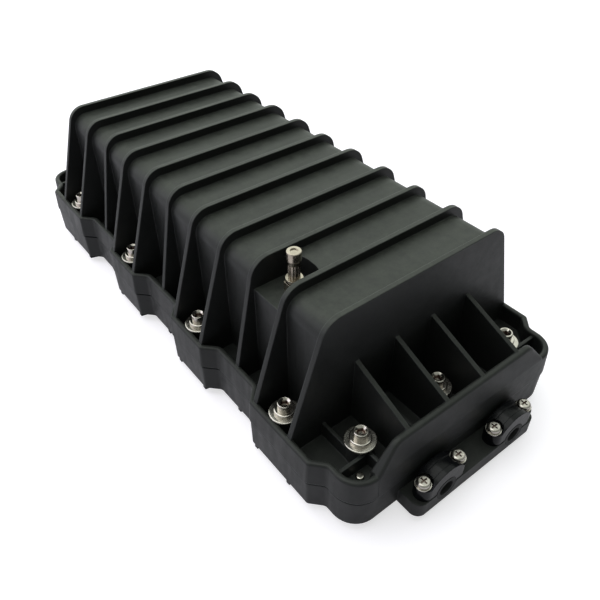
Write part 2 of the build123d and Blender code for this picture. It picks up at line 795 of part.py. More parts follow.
with BuildPart() as valve_body:
    with BuildSketch(Plane.XY.offset(valve_bore_bottom)):
        with Locations((valve_x, -valve_y)):
            Circle(valve_collar_radius)
    extrude(amount=valve_collar_height)
    with BuildSketch(Plane.XY.offset(valve_collar_top)):
        with Locations((valve_x, -valve_y)):
            Circle(valve_stem_radius)
    extrude(amount=valve_nut_top - valve_collar_top)
    with BuildSketch(Plane.XY.offset(valve_nut_top)):
        with Locations((valve_x, -valve_y)):
            Circle(valve_neck_radius)
    extrude(amount=valve_ring_gap)
    with BuildSketch(Plane.XY.offset(valve_ring_bottom)):
        with Locations((valve_x, -valve_y)):
            Circle(valve_ring_radius)
    extrude(amount=valve_ring_height)
    with BuildSketch(Plane.XY.offset(valve_ring_top)):
        with Locations((valve_x, -valve_y)):
            Circle(valve_stem_radius)
            with PolarLocations(valve_stem_radius, valve_flute_count):
                Circle(valve_flute_radius, mode=Mode.SUBTRACT)
    extrude(amount=valve_taper_bottom - valve_ring_top)
    with BuildSketch(Plane.XY.offset(valve_taper_bottom)):
        with Locations((valve_x, -valve_y)):
            Circle(valve_stem_radius)
    with BuildSketch(Plane.XY.offset(valve_cap_bottom - seat_gap)):
        with Locations((valve_x, -valve_y)):
            Circle(valve_cap_radius - valve_taper_step)
    loft()
    with BuildSketch(Plane.XY.offset(valve_cap_bottom - seat_gap)):
        with Locations((valve_x, -valve_y)):
            Circle(valve_tip_radius)
    extrude(amount=valve_tip_top - valve_cap_bottom + seat_gap)
    with Locations((valve_x, -valve_y, valve_tip_top)):
        Hole(valve_bore_radius, valve_tip_top - valve_bore_bottom)
valve_body.part.label = "valve_body"

with BuildPart() as valve_nut:
    with BuildSketch(Plane.XY.offset(platform)):
        with Locations((valve_x, -valve_y)):
            RegularPolygon(valve_nut_flat / 2, 6, major_radius=False)
            Circle(valve_stem_radius + running_gap, mode=Mode.SUBTRACT)
    extrude(amount=valve_nut_height)
valve_nut.part.label = "valve_nut"

with BuildPart() as valve_seal:
    with BuildSketch(Plane.XY.offset(valve_collar_top)):
        with Locations((valve_x, -valve_y)):
            Circle(valve_collar_radius)
            Circle(valve_stem_radius + running_gap, mode=Mode.SUBTRACT)
    extrude(amount=valve_seal_height)
valve_seal.part.label = "valve_seal"

with BuildPart() as valve_core_pin:
    with BuildSketch(Plane.XY.offset(valve_tip_top - valve_pin_drop)):
        with Locations((valve_x, -valve_y)):
            Circle(valve_pin_radius)
    extrude(amount=-valve_pin_length)
    with BuildSketch(Plane.XY.offset(valve_tip_top - valve_pin_drop - valve_pin_length)):
        with Locations((valve_x, -valve_y)):
            Circle(valve_bore_radius - running_gap)
    extrude(amount=-valve_pin_length / 2)
valve_core_pin.part.label = "valve_core_pin"

with BuildPart() as valve_cap:
    with BuildSketch(Plane.XY.offset(valve_cap_bottom)):
        with Locations((valve_x, -valve_y)):
            Circle(valve_cap_radius)
    extrude(amount=valve_cap_height)
    fillet(valve_cap.faces().sort_by(Axis.Z)[-1].edges(), valve_cap_wall / 2)
    with BuildSketch(Plane.XY.offset(valve_cap_bottom)):
        with Locations((valve_x, -valve_y)):
            Circle(valve_cap_radius - valve_cap_wall)
    extrude(amount=valve_tip_height, mode=Mode.SUBTRACT)
    with Locations((valve_x, -valve_y, valve_cap_bottom + valve_cap_height)):
        Hole(valve_cap_dimple_radius, valve_cap_dimple_depth)
valve_cap.part.label = "valve_cap"

with BuildPart() as valve_cap_seal:
    with BuildSketch(Plane.XY.offset(valve_cap_bottom)):
        with Locations((valve_x, -valve_y)):
            Circle(valve_cap_radius - valve_cap_wall)
            Circle(valve_tip_radius + running_gap, mode=Mode.SUBTRACT)
    extrude(amount=valve_seal_height)
valve_cap_seal.part.label = "valve_cap_seal"

ear_y = tray_half_width + tray_ear_gap + ear_thickness / 2

with BuildPart() as tray_bracket:
    with BuildSketch(Plane.XY.offset(bracket_bottom)):
        Rectangle(2 * bracket_half_length, 2 * bracket_half_width)
        with Locations((0, -bracket_slot_y / 2), (0, bracket_slot_y / 2)):
            SlotOverall(bracket_slot_length, bracket_slot_width, mode=Mode.SUBTRACT)
    extrude(amount=bracket_thickness)
    # Ears that carry the hinge pins
    with BuildSketch(Plane.XZ.offset(-ear_y), Plane.XZ.offset(ear_y)):
        with Locations((hinge_x, bracket_bottom)):
            Rectangle(2 * ear_half_length, ear_rise, align=(Align.CENTER, Align.MIN))
        with Locations(*[(hinge_x, z) for z in tray_heights]):
            Circle(hinge_pin_radius + running_gap, mode=Mode.SUBTRACT)
    extrude(amount=ear_thickness / 2, both=True)
    with Locations(*[(x, y, bracket_top) for x, y in post_points]):
        Hole(bracket_screw_shank_radius + running_gap, bracket_thickness)
tray_bracket.part.label = "tray_bracket"

with BuildPart() as bracket_screws:
    with BuildSketch(Plane.XY.offset(bracket_top)):
        with Locations(*post_points):
            Circle(bracket_screw_head_radius)
    extrude(amount=bracket_screw_head_height)
    fillet(bracket_screws.faces().group_by(Axis.Z)[-1].edges(), bracket_screw_head_height / 2)
    with BuildSketch(Plane.XY.offset(bracket_top)):
        with Locations(*post_points):
            Circle(bracket_screw_shank_radius)
    extrude(amount=-bracket_thickness - bracket_screw_depth + running_gap)
bracket_screws.part.label = "bracket_screws"

first_tray_bottom = first_tray_height - tray_height / 2

with BuildPart() as tray_pillars:
    with BuildSketch(Plane.XY.offset(bracket_top)):
        with Locations(*stack_points):
            RegularPolygon(stack_boss_radius, 6)
    extrude(amount=first_tray_bottom - bracket_top)
tray_pillars.part.label = "tray_pillars"

with BuildPart() as hinge_pins:
    with BuildSketch(Plane.XZ.offset(-ear_y - ear_thickness / 2 - running_gap)):
        with Locations(*[(hinge_x, z) for z in tray_heights]):
            Circle(hinge_pin_radius)
    extrude(amount=2 * ear_y + ear_thickness + 2 * running_gap)
    with BuildSketch(
        Plane.XZ.offset(ear_y + ear_thickness / 2 + running_gap),
        Plane.XZ.offset(-ear_y - ear_thickness / 2 - running_gap - hinge_pin_head_height),
    ):
        with Locations(*[(hinge_x, z) for z in tray_heights]):
            Circle(hinge_pin_head_radius)
    extrude(amount=hinge_pin_head_height)
hinge_pins.part.label = "hinge_pins"

tray_centre_x = (tray_start + tray_end) / 2
tray_length = tray_end - tray_start

# One splice tray with its hinge barrel at height zero
with BuildPart() as tray_blank:
    with BuildSketch(Plane.XY.offset(-tray_height / 2)):
        with Locations((tray_centre_x, 0)):
            RectangleRounded(tray_length, 2 * tray_half_width, tray_corner_radius)
    extrude(amount=tray_height)
    with BuildSketch(Plane.XY.offset(tray_floor - tray_height / 2)):
        with Locations((tray_centre_x, 0)):
            RectangleRounded(
                tray_length - 2 * tray_wall,
                2 * (tray_half_width - tray_wall),
                tray_corner_radius - tray_wall,
            )
    extrude(amount=tray_height - tray_floor, mode=Mode.SUBTRACT)
    # Oval race that the fibres are coiled around
    with BuildSketch(Plane.XY.offset(tray_floor - tray_height / 2)):
        with Locations((tray_centre_x, 0)):
            SlotOverall(2 * race_half_length, 2 * race_half_width)
            SlotOverall(
                2 * (race_half_length - race_wall),
                2 * (race_half_width - race_wall),
                mode=Mode.SUBTRACT,
            )
    extrude(amount=race_height)
    with BuildSketch(Plane.XY.offset(-tray_height / 2)):
        with Locations(*stack_points):
            Circle(stack_boss_radius)
    extrude(amount=tray_height)
    # Hinge barrel on two arms
    with BuildSketch(Plane.XZ):
        with Locations((hinge_x, 0)):
            Circle(hinge_radius)
        with Locations(((hinge_x + tray_start) / 2 + tray_wall / 2, 0)):
            Rectangle(tray_start - hinge_x + tray_wall, hinge_radius)
    extrude(amount=tray_half_width - tray_corner_radius, both=True)
    with BuildSketch(Plane.XZ):
        with Locations((hinge_x, 0)):
            Circle(hinge_pin_radius + running_gap)
    extrude(amount=tray_half_width, both=True, mode=Mode.SUBTRACT)

with BuildPart() as stack_feet:
    with BuildSketch(Plane.XY.offset(-tray_height / 2)):
        with Locations(*stack_points):
            Circle(stack_foot_radius)
    extrude(amount=tray_height - tray_pitch + seat_gap)

with BuildPart() as tray_lower:
    with Locations((0, 0, tray_heights[0])):
        add(tray_blank.part)
tray_lower.part.label = "tray_lower"

with BuildPart() as tray_middle:
    with Locations((0, 0, tray_heights[1])):
        add(tray_blank.part)
        add(stack_feet.part)
tray_middle.part.label = "tray_middle"

with BuildPart() as tray_upper:
    with Locations((0, 0, tray_heights[2])):
        add(tray_blank.part)
        add(stack_feet.part)
tray_upper.part.label = "tray_upper"

comb_bottom = tray_floor - tray_height / 2
comb_pitch = comb_width / comb_slot_count

# Slotted block that grips the splice sleeves
with BuildPart() as comb_blank:
    with BuildSketch(Plane.XY.offset(comb_bottom)):
        with Locations((tray_centre_x, 0)):
            Rectangle(comb_length, comb_width)
    extrude(amount=comb_height)
    with BuildSketch(Plane.XY.offset(comb_bottom + comb_height)):
        with Locations((tray_centre_x, 0)):
            with GridLocations(0, comb_pitch, 1, comb_slot_count):
                Rectangle(comb_length, comb_slot_width)
    extrude(amount=-comb_slot_depth, mode=Mode.SUBTRACT)

with BuildPart() as comb_lower:
    with Locations((0, 0, tray_heights[0])):
        add(comb_blank.part)
comb_lower.part.label = "comb_lower"

with BuildPart() as comb_middle:
    with Locations((0, 0, tray_heights[1])):
        add(comb_blank.part)
comb_middle.part.label = "comb_middle"

with BuildPart() as comb_upper:
    with Locations((0, 0, tray_heights[2])):
        add(comb_blank.part)
comb_upper.part.label = "comb_upper"

with BuildPart() as tray_lid:
    with BuildSketch(Plane.XY.offset(tray_heights[2] + tray_height / 2)):
        with Locations((tray_centre_x, 0)):
            RectangleRounded(tray_length, 2 * tray_half_width, tray_corner_radius)
    extrude(amount=lid_thickness)
tray_lid.part.label = "tray_lid"

with BuildPart() as strength_clamps:
    with BuildSketch(Plane.XY.offset(cavity_floor)):
        with Locations(*strength_points):
            Rectangle(strength_clamp_length, strength_clamp_width)
    extrude(amount=strength_clamp_height)
    with Locations(*[(x, y, cavity_floor + strength_clamp_height) for x, y in strength_points]):
        Hole(strength_screw_radius + running_gap, strength_clamp_height)
strength_clamps.part.label = "strength_clamps"

with BuildPart() as strength_screws:
    with BuildSketch(Plane.XY.offset(cavity_floor + strength_clamp_height)):
        with Locations(*strength_points):
            Circle(strength_screw_head_radius)
    extrude(amount=strength_screw_head_height)
    with BuildSketch(Plane.XY.offset(cavity_floor)):
        with Locations(*strength_points):
            Circle(strength_screw_radius)
    extrude(amount=strength_clamp_height)
strength_screws.part.label = "strength_screws"

os.makedirs("parts", exist_ok=True)
export_step(base_shell.part, "parts/base_shell.step")
export_step(seal_gasket.part, "parts/seal_gasket.step")
export_step(threaded_inserts.part, "parts/threaded_inserts.step")
export_step(cover_shell.part, "parts/cover_shell.step")
export_step(cover_bolts.part, "parts/cover_bolts.step")
export_step(bolt_collars.part, "parts/bolt_collars.step")
export_step(bolt_washers.part, "parts/bolt_washers.step")
export_step(lobe_screws.part, "parts/lobe_screws.step")
export_step(cable_grommets.part, "parts/cable_grommets.step")
export_step(port_seals.part, "parts/port_seals.step")
export_step(clamp_saddles.part, "parts/clamp_saddles.step")
export_step(saddle_washers.part, "parts/saddle_washers.step")
export_step(saddle_screws.part, "parts/saddle_screws.step")
export_step(valve_body.part, "parts/valve_body.step")
export_step(valve_nut.part, "parts/valve_nut.step")
export_step(valve_seal.part, "parts/valve_seal.step")
export_step(valve_core_pin.part, "parts/valve_core_pin.step")
export_step(valve_cap.part, "parts/valve_cap.step")
export_step(valve_cap_seal.part, "parts/valve_cap_seal.step")
export_step(tray_bracket.part, "parts/tray_bracket.step")
export_step(bracket_screws.part, "parts/bracket_screws.step")
export_step(tray_pillars.part, "parts/tray_pillars.step")
export_step(hinge_pins.part, "parts/hinge_pins.step")
export_step(tray_lower.part, "parts/tray_lower.step")
export_step(tray_middle.part, "parts/tray_middle.step")
export_step(tray_upper.part, "parts/tray_upper.step")
export_step(comb_lower.part, "parts/comb_lower.step")
export_step(comb_middle.part, "parts/comb_middle.step")
export_step(comb_upper.part, "parts/comb_upper.step")
export_step(tray_lid.part, "parts/tray_lid.step")
export_step(strength_clamps.part, "parts/strength_clamps.step")
export_step(strength_screws.part, "parts/strength_screws.step")
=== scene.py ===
import math

import bmesh
import bpy
from mathutils import Matrix, Vector

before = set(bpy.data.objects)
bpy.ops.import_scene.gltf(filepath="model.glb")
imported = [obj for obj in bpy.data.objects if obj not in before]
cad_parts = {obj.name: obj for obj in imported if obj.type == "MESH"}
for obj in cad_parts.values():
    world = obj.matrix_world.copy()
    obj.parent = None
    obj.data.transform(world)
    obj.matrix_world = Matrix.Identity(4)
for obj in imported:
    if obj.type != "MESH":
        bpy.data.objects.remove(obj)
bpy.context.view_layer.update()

MM = 0.001

# Camera fitted to the photograph: angles in degrees, place in metres, and the focal length
# in pixels of a square frame this many pixels wide
AZIMUTH, ELEVATION, ROLL = 52.303, 41.079, -0.386
CAMERA_PLACE = (0.37372, -0.24486, 0.37538)
FOCAL_PIXELS, FRAME_PIXELS = 623.35, 600
SENSOR_WIDTH_MM = 36.0
NEAREST_SEEN = 0.01

# Floor: how far its edge is from its middle, and how far it lies below the part, so that the
# two don't share a plane
FLOOR_REACH = 8.0
FLOOR_DROP = 0.4 * MM
# Strength of the floor's own white near the part, where it keeps the shadow, and far off,
# and the distances from the middle between which it rises
FLOOR_NEAR, FLOOR_FAR = 0.64, 1.0
FLOOR_RISE_START, FLOOR_RISE_END = 0.3, 1.2

# The surround is brightest behind the part, to its left and above. Its strength rises from
# dark to bright between these cosines of the angle to that direction.
WINDOW_SIDE = (-0.81, 0.15, 0.56)
ROOM_DARK, ROOM_BRIGHT = 0.12, 1.8
RISE_START, RISE_END = 0.05, 0.95
# Share of the white background that shows in reflections
MIRRORED_SHARE = 0.3

# Softboxes: name, place, width and height in metres, watts and tint
SOFTBOXES = [
    ("overhead_softbox", (-0.2, -0.35, 1.6), (1.2, 1.2), 6.0, "#ffffff"),
    ("left_softbox", (-0.7, -1.2, 0.7), (1.6, 0.9), 4.0, "#ecdfff"),
]
# All of them face the middle of the part
SOFTBOX_AIM = (0.0, 0.0, 0.05)


def srgb(code):
    """Linear RGBA of an sRGB hex colour."""
    channels = [int(code[first:first + 2], 16) / 255 for first in (1, 3, 5)]
    linear = [c / 12.92 if c <= 0.04045 else ((c + 0.055) / 1.055) ** 2.4 for c in channels]
    return (*linear, 1.0)


def node(tree, kind, inputs=None, stops=(), **settings):
    """Adds one node with its settings, and gives its inputs values or links.

    A hex code stands for its colour. Stops are the positions and colours of a colour ramp.
    """
    made = tree.nodes.new(kind)
    for name, value in settings.items():
        setattr(made, name, value)
    for name, value in (inputs or {}).items():
        if isinstance(value, bpy.types.NodeSocket):
            tree.links.new(value, made.inputs[name])
        else:
            made.inputs[name].default_value = srgb(value) if isinstance(value, str) else value
    if stops:
        ends = made.color_ramp.elements
        while len(ends) < len(stops):
            ends.new(0.5)
        for end, (position, code) in zip(ends, stops):
            end.position = position
            end.color = srgb(code)
    return made


def new_material(name):
    """A material with an empty node tree."""
    material = bpy.data.materials.new(name)
    material.use_nodes = True
    material.node_tree.nodes.clear()
    return material, material.node_tree


def worn_and_highlit_edges(tree, round_normal):
    """1 where an edge turns, is rubbed in handling and carries a painted highlight, 0 on flat
    faces.
    """
    flat_normal = node(tree, "ShaderNodeNewGeometry").outputs["Normal"]
    turn = node(tree, "ShaderNodeVectorMath", {
        0: round_normal, 1: flat_normal,
    }, operation="DOT_PRODUCT").outputs["Value"]
    return node(tree, "ShaderNodeMapRange", {
        "Value": turn, "From Min": 0.75, "From Max": 0.995, "To Min": 1.0, "To Max": 0.0,
    }).outputs["Result"]


def dust_and_low_shade(tree, at):
    """1 on faces that look up near the top of the part, less low down as painted shade, and 0 on
    walls.
    """
    normal = node(tree, "ShaderNodeTexCoord").outputs["Normal"]
    upwards = node(tree, "ShaderNodeSeparateXYZ", {"Vector": normal}).outputs["Z"]
    facing_up = node(tree, "ShaderNodeMapRange", {
        "Value": upwards, "From Min": 0.45, "From Max": 0.9, "To Min": 0.0, "To Max": 1.0,
    }).outputs["Result"]
    # Dust lies on the faces that look up; its fading low down is painted shade, so that the pockets
    # and shelves low down stay darker
    height = node(tree, "ShaderNodeSeparateXYZ", {"Vector": at}).outputs["Z"]
    unshaded = node(tree, "ShaderNodeMapRange", {
        "Value": height, "From Min": 60 * MM, "From Max": 120 * MM, "To Min": 0.3, "To Max": 1.0,
    }).outputs["Result"]
    return node(tree, "ShaderNodeMath", {
        0: facing_up, 1: unshaded,
    }, operation="MULTIPLY").outputs["Value"]


def recess_shade(tree, reach):
    """1 deep in sockets and corners of this piece, where shade falls, 0 in the open."""
    unshaded = node(tree, "ShaderNodeAmbientOcclusion", {
        "Distance": reach,
    }, samples=16, only_local=True).outputs["AO"]
    return node(tree, "ShaderNodeMapRange", {
        "Value": unshaded, "From Min": 0.4, "From Max": 0.85, "To Min": 1.0, "To Max": 0.0,
    }).outputs["Result"]


def background_rays(tree):
    """1 for rays that see the background directly or through glass, less in reflections."""
    path = node(tree, "ShaderNodeLightPath")
    mirrored = node(tree, "ShaderNodeMath", {
        0: path.outputs["Is Glossy Ray"], 1: MIRRORED_SHARE,
    }, operation="MULTIPLY").outputs["Value"]
    direct = node(tree, "ShaderNodeMath", {
        0: path.outputs["Is Camera Ray"], 1: path.outputs["Is Transmission Ray"],
    }, operation="MAXIMUM").outputs["Value"]
    return node(tree, "ShaderNodeMath", {
        0: direct, 1: mirrored,
    }, operation="MAXIMUM").outputs["Value"]


# Polypropylene, injection moulded in a spark eroded tool: a satin black with a fine grain,
# faint flow clouding, paler rubbed edges that are wear with a painted highlight, and dust on the
# faces that look up, which thins into painted shade low down
def moulded_polypropylene():
    material, tree = new_material("moulded_polypropylene")
    at = node(tree, "ShaderNodeTexCoord").outputs["Object"]
    round_normal = node(tree, "ShaderNodeBevel", {"Radius": 1.2 * MM}, samples=6).outputs["Normal"]
    # Clouding of 46 mm, where the melt cooled unevenly
    clouds = node(tree, "ShaderNodeTexNoise", {
        "Vector": at, "Scale": 1 / (46 * MM), "Detail": 4.0, "Roughness": 0.5,
    }).outputs["Fac"]
    body = node(tree, "ShaderNodeValToRGB", {"Fac": clouds}, stops=[
        (0.30, "#202121"), (0.52, "#242525"), (0.75, "#282929"),
    ]).outputs["Color"]
    # Scuffs of 7 mm break up the wear and painted highlight on the edges, the dust and the gloss
    scuffs = node(tree, "ShaderNodeTexNoise", {
        "Vector": at, "Scale": 1 / (7 * MM), "Detail": 8.0, "Roughness": 0.72,
    }).outputs["Fac"]
    patchy_wear_and_highlight = node(tree, "ShaderNodeMapRange", {
        "Value": scuffs, "From Min": 0.35, "From Max": 0.65, "To Min": 0.2, "To Max": 1.0,
    }).outputs["Result"]
    edge_wear_and_highlight = node(tree, "ShaderNodeMath", {
        0: worn_and_highlit_edges(tree, round_normal), 1: patchy_wear_and_highlight,
    }, operation="MULTIPLY").outputs["Value"]
    soft_edge_wear_and_highlight = node(tree, "ShaderNodeMath", {
        0: edge_wear_and_highlight, 1: 0.7,
    }, operation="MULTIPLY").outputs["Value"]
    # Edges turn paler towards #505355: wear, and a painted highlight along them
    worn_and_highlit = node(tree, "ShaderNodeMix", {
        "Factor": soft_edge_wear_and_highlight, 6: body, 7: "#505355",
    }, data_type="RGBA").outputs[2]
    patchy_dust = node(tree, "ShaderNodeMapRange", {
        "Value": scuffs, "From Min": 0.35, "From Max": 0.7, "To Min": 0.25, "To Max": 0.85,
    }).outputs["Result"]
    # Pale dust on the faces that look up, thinned low down by painted shade
    dust_and_shade = node(tree, "ShaderNodeMath", {
        0: dust_and_low_shade(tree, at), 1: patchy_dust,
    }, operation="MULTIPLY").outputs["Value"]
    colour = node(tree, "ShaderNodeMix", {
        "Factor": dust_and_shade, 6: worn_and_highlit, 7: "#424540",
    }, data_type="RGBA").outputs[2]
    # Flow lines run across the cover, along the ribs, and turn the gloss a little
    drawn = node(tree, "ShaderNodeMapping", {
        "Vector": at, "Scale": (9.0, 1.0, 1.0),
    }).outputs["Vector"]
    flow = node(tree, "ShaderNodeTexNoise", {
        "Vector": drawn, "Scale": 1 / (60 * MM), "Detail": 5.0, "Roughness": 0.6,
    }).outputs["Fac"]
    satin = node(tree, "ShaderNodeMapRange", {
        "Value": scuffs, "From Min": 0.3, "From Max": 0.7, "To Min": 0.36, "To Max": 0.48,
    }).outputs["Result"]
    flow_gloss = node(tree, "ShaderNodeMapRange", {
        "Value": flow, "From Min": 0.35, "From Max": 0.65, "To Min": -0.05, "To Max": 0.06,
    }).outputs["Result"]
    roughness = node(tree, "ShaderNodeMath", {
        0: satin, 1: flow_gloss,
    }, operation="ADD").outputs["Value"]
    # Grain of 0.25 mm is finer than the picture shows, so it is drawn at 0.7 mm
    grain = node(tree, "ShaderNodeTexNoise", {
        "Vector": at, "Scale": 1 / (0.7 * MM), "Detail": 3.0, "Roughness": 0.5,
    }).outputs["Fac"]
    bump = node(tree, "ShaderNodeBump", {
        "Height": grain, "Strength": 0.14, "Distance": 0.12 * MM, "Normal": round_normal,
    }).outputs["Normal"]
    shader = node(tree, "ShaderNodeBsdfPrincipled", {
        "Base Color": colour, "Roughness": roughness, "Normal": bump,
        "IOR": 1.49, "Specular IOR Level": 0.25,
    })
    node(tree, "ShaderNodeOutputMaterial", {"Surface": shader.outputs["BSDF"]})
    return material


# Glass filled nylon from a polished tool: glossy near-black with soft sink waves and fine scratches
def polished_nylon():
    material, tree = new_material("polished_nylon")
    at = node(tree, "ShaderNodeTexCoord").outputs["Object"]
    round_normal = node(tree, "ShaderNodeBevel", {"Radius": 0.6 * MM}, samples=6).outputs["Normal"]
    # Scratches are finer than the picture shows, so their marks are drawn at 0.9 mm
    marks = node(tree, "ShaderNodeTexNoise", {
        "Vector": at, "Scale": 1 / (0.9 * MM), "Detail": 6.0, "Roughness": 0.7,
    }).outputs["Fac"]
    body = node(tree, "ShaderNodeValToRGB", {"Fac": marks}, stops=[
        (0.35, "#07080b"), (0.7, "#0c0d11"),
    ]).outputs["Color"]
    # Edges turn paler towards #33343a: wear, and a painted highlight along them
    soft_edge_wear_and_highlight = node(tree, "ShaderNodeMath", {
        0: worn_and_highlit_edges(tree, round_normal), 1: 0.3,
    }, operation="MULTIPLY").outputs["Value"]
    colour = node(tree, "ShaderNodeMix", {
        "Factor": soft_edge_wear_and_highlight, 6: body, 7: "#33343a",
    }, data_type="RGBA").outputs[2]
    roughness = node(tree, "ShaderNodeMapRange", {
        "Value": marks, "From Min": 0.3, "From Max": 0.7, "To Min": 0.12, "To Max": 0.26,
    }).outputs["Result"]
    # Sink waves of 6 mm, over the thick middle of the moulding
    waves = node(tree, "ShaderNodeTexNoise", {
        "Vector": at, "Scale": 1 / (6 * MM), "Detail": 2.0, "Roughness": 0.5,
    }).outputs["Fac"]
    bump = node(tree, "ShaderNodeBump", {
        "Height": waves, "Strength": 0.25, "Distance": 0.4 * MM, "Normal": round_normal,
    }).outputs["Normal"]
    shader = node(tree, "ShaderNodeBsdfPrincipled", {
        "Base Color": colour, "Roughness": roughness, "Normal": bump,
        "IOR": 1.53, "Specular IOR Level": 0.14,
    })
    node(tree, "ShaderNodeOutputMaterial", {"Surface": shader.outputs["BSDF"]})
    return material


# Moulded rubber: dull, with a powdery bloom and a slight orange peel
def moulded_rubber(name, dark, pale):
    material, tree = new_material(name)
    at = node(tree, "ShaderNodeTexCoord").outputs["Object"]
    bloom = node(tree, "ShaderNodeTexNoise", {
        "Vector": at, "Scale": 1 / (3 * MM), "Detail": 6.0, "Roughness": 0.65,
    }).outputs["Fac"]
    colour = node(tree, "ShaderNodeValToRGB", {"Fac": bloom}, stops=[
        (0.3, dark), (0.72, pale),
    ]).outputs["Color"]
    roughness = node(tree, "ShaderNodeMapRange", {
        "Value": bloom, "From Min": 0.0, "From Max": 1.0, "To Min": 0.62, "To Max": 0.85,
    }).outputs["Result"]
    peel = node(tree, "ShaderNodeTexNoise", {
        "Vector": at, "Scale": 1 / (0.5 * MM), "Detail": 2.0, "Roughness": 0.5,
    }).outputs["Fac"]
    bump = node(tree, "ShaderNodeBump", {
        "Height": peel, "Strength": 0.3, "Distance": 0.1 * MM,
    }).outputs["Normal"]
    shader = node(tree, "ShaderNodeBsdfPrincipled", {
        "Base Color": colour, "Roughness": roughness, "Normal": bump, "IOR": 1.52,
    })
    node(tree, "ShaderNodeOutputMaterial", {"Surface": shader.outputs["BSDF"]})
    return material


# Small metal parts, turned, stamped or plated: faint cloudy stain, soft differences in polish,
# broken edges, and where there are sockets, painted shade deep inside them, tinted like the grime
# and thread sealant that some of them hold
def small_metal(name, dark, pale, polish, dullness, recess_tint_and_shade=None):
    material, tree = new_material(name)
    at = node(tree, "ShaderNodeTexCoord").outputs["Object"]
    round_normal = node(tree, "ShaderNodeBevel", {"Radius": 0.3 * MM}, samples=6).outputs["Normal"]
    stain = node(tree, "ShaderNodeTexNoise", {
        "Vector": at, "Scale": 1 / (3.5 * MM), "Detail": 3.0, "Roughness": 0.5,
    }).outputs["Fac"]
    colour = node(tree, "ShaderNodeValToRGB", {"Fac": stain}, stops=[
        (0.3, dark), (0.7, pale),
    ]).outputs["Color"]
    # Sockets and corners darken by painted shade, found from the occlusion of this piece
    if recess_tint_and_shade:
        colour = node(tree, "ShaderNodeMix", {
            "Factor": recess_shade(tree, 2.6 * MM), 6: colour, 7: recess_tint_and_shade,
        }, data_type="RGBA").outputs[2]
    roughness = node(tree, "ShaderNodeMapRange", {
        "Value": stain, "From Min": 0.3, "From Max": 0.7, "To Min": polish, "To Max": dullness,
    }).outputs["Result"]
    # Unevenness of 5 mm breaks up long reflections
    unevenness = node(tree, "ShaderNodeTexNoise", {
        "Vector": at, "Scale": 1 / (5 * MM), "Detail": 1.0, "Roughness": 0.5,
    }).outputs["Fac"]
    bump = node(tree, "ShaderNodeBump", {
        "Height": unevenness, "Strength": 0.1, "Distance": 0.1 * MM, "Normal": round_normal,
    }).outputs["Normal"]
    shader = node(tree, "ShaderNodeBsdfPrincipled", {
        "Base Color": colour, "Roughness": roughness, "Normal": bump, "Metallic": 1.0,
    })
    node(tree, "ShaderNodeOutputMaterial", {"Surface": shader.outputs["BSDF"]})
    return material


# Plastic mouldings from a finely textured tool: soft gloss and a slightly uneven tone
def textured_moulding(name, dark, pale):
    material, tree = new_material(name)
    at = node(tree, "ShaderNodeTexCoord").outputs["Object"]
    tone = node(tree, "ShaderNodeTexNoise", {
        "Vector": at, "Scale": 1 / (30 * MM), "Detail": 4.0, "Roughness": 0.5,
    }).outputs["Fac"]
    colour = node(tree, "ShaderNodeValToRGB", {"Fac": tone}, stops=[
        (0.3, dark), (0.7, pale),
    ]).outputs["Color"]
    grain = node(tree, "ShaderNodeTexNoise", {
        "Vector": at, "Scale": 1 / (0.8 * MM), "Detail": 2.0, "Roughness": 0.5,
    }).outputs["Fac"]
    roughness = node(tree, "ShaderNodeMapRange", {
        "Value": grain, "From Min": 0.0, "From Max": 1.0, "To Min": 0.42, "To Max": 0.55,
    }).outputs["Result"]
    bump = node(tree, "ShaderNodeBump", {
        "Height": grain, "Strength": 0.15, "Distance": 0.1 * MM,
    }).outputs["Normal"]
    shader = node(tree, "ShaderNodeBsdfPrincipled", {
        "Base Color": colour, "Roughness": roughness, "Normal": bump, "IOR": 1.54,
    })
    node(tree, "ShaderNodeOutputMaterial", {"Surface": shader.outputs["BSDF"]})
    return material


# Clear polycarbonate sheet: thin, faintly cool, with handling smears
def clear_polycarbonate():
    material, tree = new_material("clear_polycarbonate")
    at = node(tree, "ShaderNodeTexCoord").outputs["Object"]
    smears = node(tree, "ShaderNodeTexNoise", {
        "Vector": at, "Scale": 1 / (18 * MM), "Detail": 6.0, "Roughness": 0.5,
    }).outputs["Fac"]
    colour = node(tree, "ShaderNodeValToRGB", {"Fac": smears}, stops=[
        (0.3, "#e9f0f0"), (0.7, "#f6fafa"),
    ]).outputs["Color"]
    roughness = node(tree, "ShaderNodeMapRange", {
        "Value": smears, "From Min": 0.35, "From Max": 0.7, "To Min": 0.04, "To Max": 0.14,
    }).outputs["Result"]
    shader = node(tree, "ShaderNodeBsdfPrincipled", {
        "Base Color": colour, "Roughness": roughness,
        "IOR": 1.585, "Transmission Weight": 1.0, "Alpha": 0.55,
    })
    node(tree, "ShaderNodeOutputMaterial", {"Surface": shader.outputs["BSDF"]})
    return material


# White paper sweep: near the part it keeps the shadow, and far off it is as white as the surround
def white_paper():
    material, tree = new_material("white_floor")
    at = node(tree, "ShaderNodeTexCoord").outputs["Object"]
    away = node(tree, "ShaderNodeVectorMath", {0: at}, operation="LENGTH").outputs["Value"]
    whiteness = node(tree, "ShaderNodeMapRange", {
        "Value": away, "From Min": FLOOR_RISE_START, "From Max": FLOOR_RISE_END,
        "To Min": FLOOR_NEAR, "To Max": FLOOR_FAR,
    }).outputs["Result"]
    glow = node(tree, "ShaderNodeMath", {
        0: background_rays(tree), 1: whiteness,
    }, operation="MULTIPLY").outputs["Value"]
    shader = node(tree, "ShaderNodeBsdfPrincipled", {
        "Base Color": "#cdc7d4", "Roughness": 0.9, "Specular IOR Level": 0.0,
        "Emission Color": "#ffffff", "Emission Strength": glow,
    })
    node(tree, "ShaderNodeOutputMaterial", {"Surface": shader.outputs["BSDF"]})
    return material


